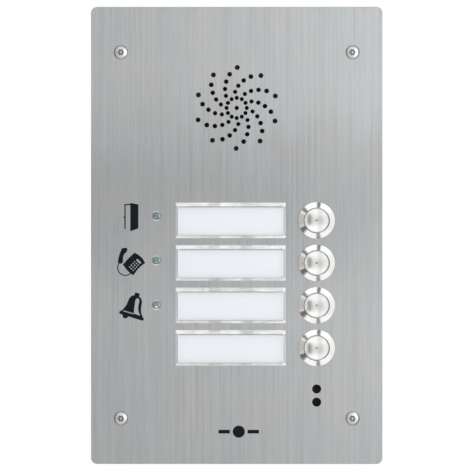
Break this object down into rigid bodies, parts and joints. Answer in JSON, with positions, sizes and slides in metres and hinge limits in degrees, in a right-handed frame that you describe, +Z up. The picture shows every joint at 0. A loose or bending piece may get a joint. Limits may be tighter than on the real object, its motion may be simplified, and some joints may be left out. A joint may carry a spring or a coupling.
{
  "type": "door intercom panel",
  "caption": "Flush door station: brushed steel plate with speaker grille, call buttons beside lit name windows, status lights and microphone, on a steel box let into the wall.",
  "frame": {"origin": "centre of the four wall-fixing holes, on the outer rear face of the wall box", "axes": "+Z up, +X to the right as the visitor sees it, the front plate faces -Y and +Y goes into the wall"},
  "size_m": [0.144, 0.0537, 0.226],
  "materials": {
    "plate_steel": "vertical brushed grain",
    "polished_steel": "polished",
    "screw_steel": "bright",
    "zinc_hardware": "zinc plated",
    "spring_steel": "drawn wire",
    "galvanised_sheet": "hot-dip galvanised",
    "black_fill": "enamel fill",
    "clear_cover": "clear polycarbonate",
    "card_paper": "white card",
    "opal_plastic": "opal diffuser",
    "white_plastic": "moulded",
    "lens_tint": "smoked light pipe",
    "black_plastic": "moulded",
    "contact_brass": "plated",
    "speaker_paper": "pressed paper cone",
    "speaker_steel": "zinc passivated",
    "magnet_ferrite": "sintered",
    "capsule_metal": "satin",
    "foam_rubber": "closed-cell foam",
    "black_rubber": "moulded",
    "board_laminate": "solder resist over copper",
    "led_package": "surface-mount lamp",
    "chip_epoxy": "moulded epoxy",
    "capacitor_sleeve": "shrink sleeve",
    "connector_nylon": "moulded",
    "relay_case": "moulded",
    "terminal_green": "moulded",
    "trimmer_blue": "moulded",
    "trimmer_white": "moulded",
    "wire_red": "flexible insulation",
    "wire_black": "flexible insulation"
  },
  "bodies": {
    "back_box": {"back_box": "galvanised_sheet", "box_lugs": "zinc_hardware", "cable_grommet": "black_rubber", "earth_screw": "contact_brass"},
    "front_panel": {"front_plate": "plate_steel", "plate_studs": "zinc_hardware", "pictogram_inlays": "black_fill", "maker_mark": "black_fill", "name_window_1": "clear_cover", "name_window_2": "clear_cover", "name_window_3": "clear_cover", "name_window_4": "clear_cover", "name_card_1": "card_paper", "name_card_2": "card_paper", "name_card_3": "card_paper", "name_card_4": "card_paper", "name_diffusers": "opal_plastic", "label_reflector": "white_plastic", "status_lens_1": "lens_tint", "status_lens_2": "lens_tint", "status_lens_3": "lens_tint", "button_housing_1": "polished_steel", "button_housing_2": "polished_steel", "button_housing_3": "polished_steel", "button_housing_4": "polished_steel", "button_spring_1": "spring_steel", "button_spring_2": "spring_steel", "button_spring_3": "spring_steel", "button_spring_4": "spring_steel", "button_seals": "black_rubber", "button_nuts": "zinc_hardware", "switch_bases": "black_plastic", "switch_terminals": "contact_brass", "speaker_frame": "speaker_steel", "speaker_cone": "speaker_paper", "speaker_magnet": "magnet_ferrite", "speaker_gasket": "foam_rubber", "speaker_clamp": "zinc_hardware", "microphone_capsule": "capsule_metal", "microphone_boot": "black_rubber", "main_board": "board_laminate", "board_spacers": "zinc_hardware", "board_leds": "led_package", "board_chips": "chip_epoxy", "board_capacitors": "capacitor_sleeve", "board_connectors": "connector_nylon", "relay": "relay_case", "terminal_block": "terminal_green", "trimmer_bodies": "trimmer_blue", "m3_nuts": "zinc_hardware", "button_wires": "wire_red", "audio_wires": "wire_black", "security_screws": "screw_steel", "plate_gasket": "foam_rubber"},
    "call_button_1": {"call_button_1": "polished_steel"},
    "call_button_2": {"call_button_2": "polished_steel"},
    "call_button_3": {"call_button_3": "polished_steel"},
    "call_button_4": {"call_button_4": "polished_steel"},
    "speaker_trimmer": {"speaker_trimmer": "trimmer_white"},
    "microphone_trimmer": {"microphone_trimmer": "trimmer_white"}
  },
  "joints": [
    {"name": "panel_lift_off", "type": "slide", "parent": "back_box", "child": "front_panel", "axis": [0, -1, 0], "range_m": [0, 0.08]},
    {"name": "press_call_button_1", "type": "slide", "parent": "front_panel", "child": "call_button_1", "axis": [0, 1, 0], "range_m": [0, 0.0015], "stiffness_N_per_m": 600, "springref_m": -0.003, "deforming": ["button_spring_1"]},
    {"name": "press_call_button_2", "type": "slide", "parent": "front_panel", "child": "call_button_2", "axis": [0, 1, 0], "range_m": [0, 0.0015], "stiffness_N_per_m": 600, "springref_m": -0.003, "deforming": ["button_spring_2"]},
    {"name": "press_call_button_3", "type": "slide", "parent": "front_panel", "child": "call_button_3", "axis": [0, 1, 0], "range_m": [0, 0.0015], "stiffness_N_per_m": 600, "springref_m": -0.003, "deforming": ["button_spring_3"]},
    {"name": "press_call_button_4", "type": "slide", "parent": "front_panel", "child": "call_button_4", "axis": [0, 1, 0], "range_m": [0, 0.0015], "stiffness_N_per_m": 600, "springref_m": -0.003, "deforming": ["button_spring_4"]},
    {"name": "turn_speaker_trimmer", "type": "hinge", "parent": "front_panel", "child": "speaker_trimmer", "pos_m": [-0.048, -0.034, -0.022], "axis": [0, 1, 0], "range_deg": [-135, 135]},
    {"name": "turn_microphone_trimmer", "type": "hinge", "parent": "front_panel", "child": "microphone_trimmer", "pos_m": [-0.048, -0.034, -0.036], "axis": [0, 1, 0], "range_deg": [-135, 135]}
  ]
}
